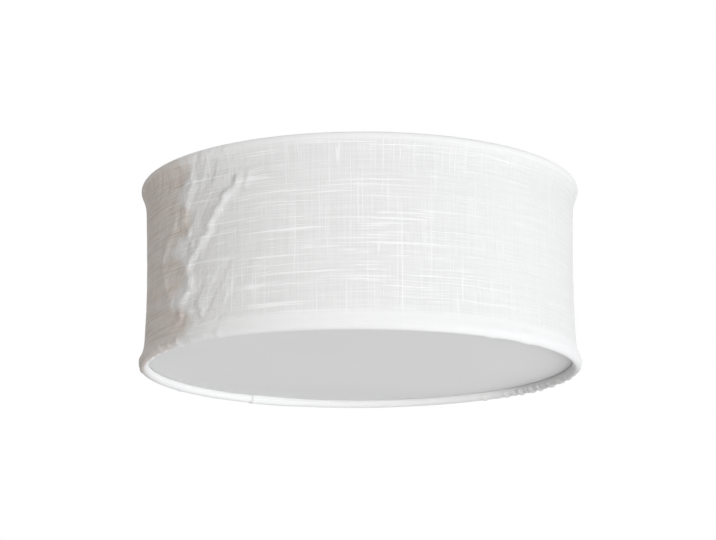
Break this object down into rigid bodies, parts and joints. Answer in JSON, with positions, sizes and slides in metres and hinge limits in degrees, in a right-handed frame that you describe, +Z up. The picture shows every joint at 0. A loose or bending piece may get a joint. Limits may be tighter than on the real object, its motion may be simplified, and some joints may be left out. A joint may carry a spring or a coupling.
{
  "type": "flush mount ceiling light",
  "caption": "Flush drum ceiling light with a waisted linen shade on bound wire rings, an opal diffuser disc and a steel ceiling pan carrying screw-in lamps.",
  "frame": {"origin": "on the ceiling, midway between the mounting bar's two ceiling slots; the light hangs below it", "axes": "+Z up, into the ceiling; -Y towards the front of the light in the picture; +X along the mounting bar and the lamps"},
  "size_m": [0.4, 0.4, 0.173],
  "materials": {
    "linen": "slubbed plain weave",
    "liner_sheet": "smooth white styrene sheet",
    "ring_enamel": "white powder coat",
    "cotton_tape": "herringbone cotton tape",
    "white_enamel": "semi-gloss white",
    "zinc_steel": "bright zinc plate",
    "nickel_brass": "satin nickel plate",
    "brass": "turned",
    "black_plastic": "moulded phenolic",
    "white_plastic": "moulded",
    "black_glass": "vitrite",
    "solder": "solder",
    "frosted_globe": "frosted diffuser",
    "opal_acrylic": "opal satin sheet",
    "grey_rubber": "soft",
    "tinned_copper": "tin plate",
    "brown_sleeve": "sleeved lead",
    "blue_sleeve": "sleeved lead",
    "green_yellow_sleeve": "striped sleeve"
  },
  "bodies": {
    "pan": {"mounting_bar": "zinc_steel", "bar_studs": "zinc_steel", "dome_nuts": "nickel_brass", "ceiling_pan": "white_enamel", "threaded_bushes": "brass", "holder_brackets": "zinc_steel", "bracket_screws": "zinc_steel", "lampholder_bodies": "black_plastic", "screw_shells": "nickel_brass", "centre_contacts": "brass", "holder_nipples": "zinc_steel", "holder_lock_nuts": "zinc_steel", "lead_grommets": "grey_rubber", "terminal_block": "white_plastic", "terminal_screws": "zinc_steel", "earth_lug": "tinned_copper", "earth_screw": "brass", "live_leads": "brown_sleeve", "neutral_leads": "blue_sleeve", "earth_lead": "green_yellow_sleeve"},
    "shade": {"linen_cover": "linen", "shade_liner": "liner_sheet", "top_ring": "ring_enamel", "bottom_ring": "ring_enamel", "top_ring_binding": "cotton_tape", "bottom_ring_binding": "cotton_tape", "fitter_ring": "white_enamel", "fitter_arms": "white_enamel"},
    "diffuser": {"diffuser": "opal_acrylic"},
    "thumbscrew_1": {"thumbscrew_1": "nickel_brass"},
    "thumbscrew_2": {"thumbscrew_2": "nickel_brass"},
    "thumbscrew_3": {"thumbscrew_3": "nickel_brass"},
    "lamp_a": {"lamp_a_contact": "solder", "lamp_a_insulator": "black_glass", "lamp_a_cap": "nickel_brass", "lamp_a_housing": "white_plastic", "lamp_a_globe": "frosted_globe"},
    "lamp_b": {"lamp_b_contact": "solder", "lamp_b_insulator": "black_glass", "lamp_b_cap": "nickel_brass", "lamp_b_housing": "white_plastic", "lamp_b_globe": "frosted_globe"}
  },
  "joints": [
    {"name": "shade_lower", "type": "slide", "parent": "pan", "child": "shade", "axis": [0, 0, -1], "range_m": [0, 0.15]},
    {"name": "diffuser_lift", "type": "slide", "parent": "shade", "child": "diffuser", "axis": [0, 0, 1], "range_m": [0, 0.06]},
    {"name": "thumbscrew_1_turn", "type": "hinge", "parent": "shade", "child": "thumbscrew_1", "pos_m": [0, 0.13, -0.03], "axis": [0, 0, 1], "continuous": true},
    {"name": "thumbscrew_2_turn", "type": "hinge", "parent": "shade", "child": "thumbscrew_2", "pos_m": [-0.11258, -0.065, -0.03], "axis": [0, 0, 1], "continuous": true},
    {"name": "thumbscrew_3_turn", "type": "hinge", "parent": "shade", "child": "thumbscrew_3", "pos_m": [0.11258, -0.065, -0.03], "axis": [0, 0, 1], "continuous": true},
    {"name": "lamp_a_unscrew", "type": "hinge", "parent": "pan", "child": "lamp_a", "pos_m": [-0.068, 0.036, -0.062], "axis": [1, 0, 0], "range_deg": [0, 1080]},
    {"name": "lamp_b_unscrew", "type": "hinge", "parent": "pan", "child": "lamp_b", "pos_m": [0.068, -0.036, -0.062], "axis": [-1, 0, 0], "range_deg": [0, 1080]}
  ]
}
